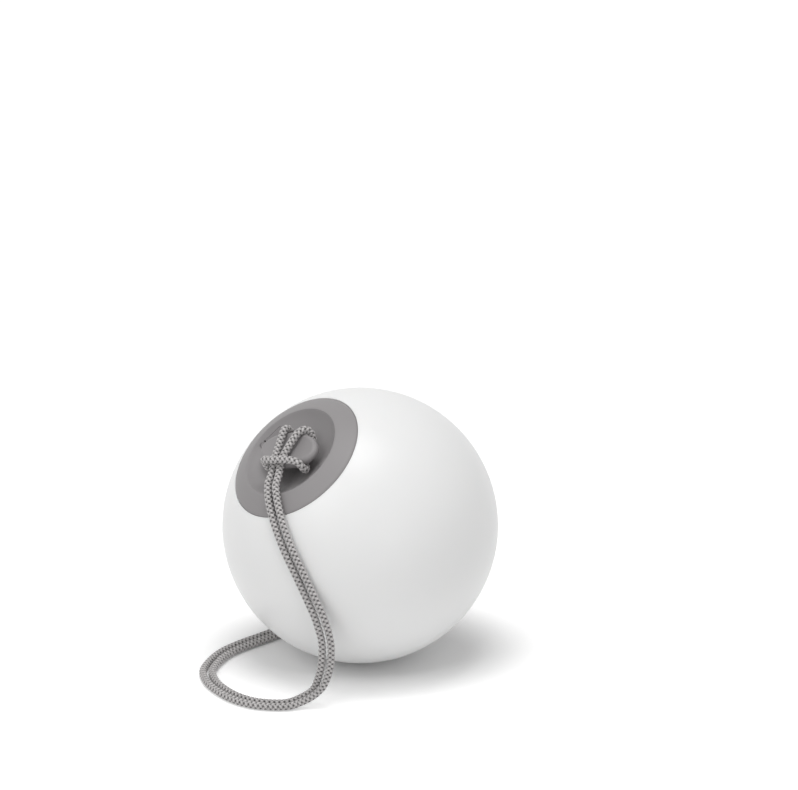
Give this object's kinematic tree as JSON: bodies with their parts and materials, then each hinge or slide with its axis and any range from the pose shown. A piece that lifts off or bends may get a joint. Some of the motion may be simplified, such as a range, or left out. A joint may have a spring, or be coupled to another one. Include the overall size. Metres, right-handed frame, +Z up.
{
  "type": "hanging lamp",
  "caption": "Round opal globe lamp with a grey dished cap, an oval hanging knob and a looped braided rope, lying at rest.",
  "frame": {"origin": "the point of the floor under the globe's centre, where the globe rests", "axes": "+Z up, -Y towards the viewer, +X to the viewer's right"},
  "size_m": [0.2159, 0.2061, 0.1998],
  "materials": {
    "opal_plastic": "satin",
    "cap_plastic": "matte",
    "soft_rubber": "matte",
    "seal_rubber": "matte",
    "rope_fibre": "braided",
    "steel_fixings": "brushed",
    "board_green": "coated",
    "board_white": "coated",
    "black_plastic": "matte",
    "inner_plastic": "matte",
    "cell_wrap": "satin",
    "phosphor": "satin",
    "lead_red": "satin",
    "lead_black": "satin"
  },
  "bodies": {
    "body": {"globe_shell": "opal_plastic", "led_lens": "opal_plastic", "cap_shell": "cap_plastic", "hanging_knob": "cap_plastic", "flap_anchor": "soft_rubber", "cap_seal": "seal_rubber", "housing_seal": "seal_rubber", "housing_cup": "inner_plastic", "board_connector": "inner_plastic", "switch_body": "black_plastic", "socket_tongue": "black_plastic", "driver_chip": "black_plastic", "power_inductor": "black_plastic", "battery_holder": "black_plastic", "switch_board": "board_green", "socket_board": "board_green", "control_board": "board_green", "led_board": "board_white", "switch_lead": "lead_black", "socket_lead": "lead_black", "battery_lead_black": "lead_black", "led_lead_black": "lead_black", "battery_lead_red": "lead_red", "led_lead_red": "lead_red", "rope_hitch": "rope_fibre", "rope_loop": "rope_fibre", "battery_cell_1": "cell_wrap", "battery_cell_2": "cell_wrap", "knob_washer": "steel_fixings", "knob_screw": "steel_fixings", "socket_shell": "steel_fixings", "cell_strip_front": "steel_fixings", "cell_strip_back": "steel_fixings", "housing_screw_1": "steel_fixings", "housing_screw_2": "steel_fixings", "housing_screw_3": "steel_fixings", "housing_screw_4": "steel_fixings", "switch_screw_1": "steel_fixings", "socket_screw_1": "steel_fixings", "board_screw_1": "steel_fixings", "led_screw_1": "steel_fixings", "switch_screw_2": "steel_fixings", "socket_screw_2": "steel_fixings", "board_screw_2": "steel_fixings", "led_screw_2": "steel_fixings", "led_1": "phosphor", "led_2": "phosphor", "led_3": "phosphor", "led_4": "phosphor", "led_5": "phosphor", "led_6": "phosphor"},
    "button": {"power_button": "soft_rubber"},
    "plunger": {"switch_plunger": "black_plastic"},
    "flap": {"port_flap": "soft_rubber"}
  },
  "joints": [
    {"name": "button_press", "type": "slide", "parent": "body", "child": "button", "axis": [0.7955, -0.0611, -0.6029], "range_m": [0, 0.0008], "stiffness_N_per_m": 400, "springref_m": -0.0005},
    {"name": "plunger_press", "type": "slide", "parent": "body", "child": "plunger", "axis": [0.7955, -0.0611, -0.6029], "range_m": [0, 0.0008]},
    {"name": "flap_hinge", "type": "hinge", "parent": "body", "child": "flap", "pos_m": [-0.06636, -0.00227, 0.16502], "axis": [0.6466, -0.6042, -0.4657], "range_deg": [0, 50]}
  ],
  "couplings": [
    {"joint": "plunger_press", "follows": "button_press", "ratio": 1}
  ]
}
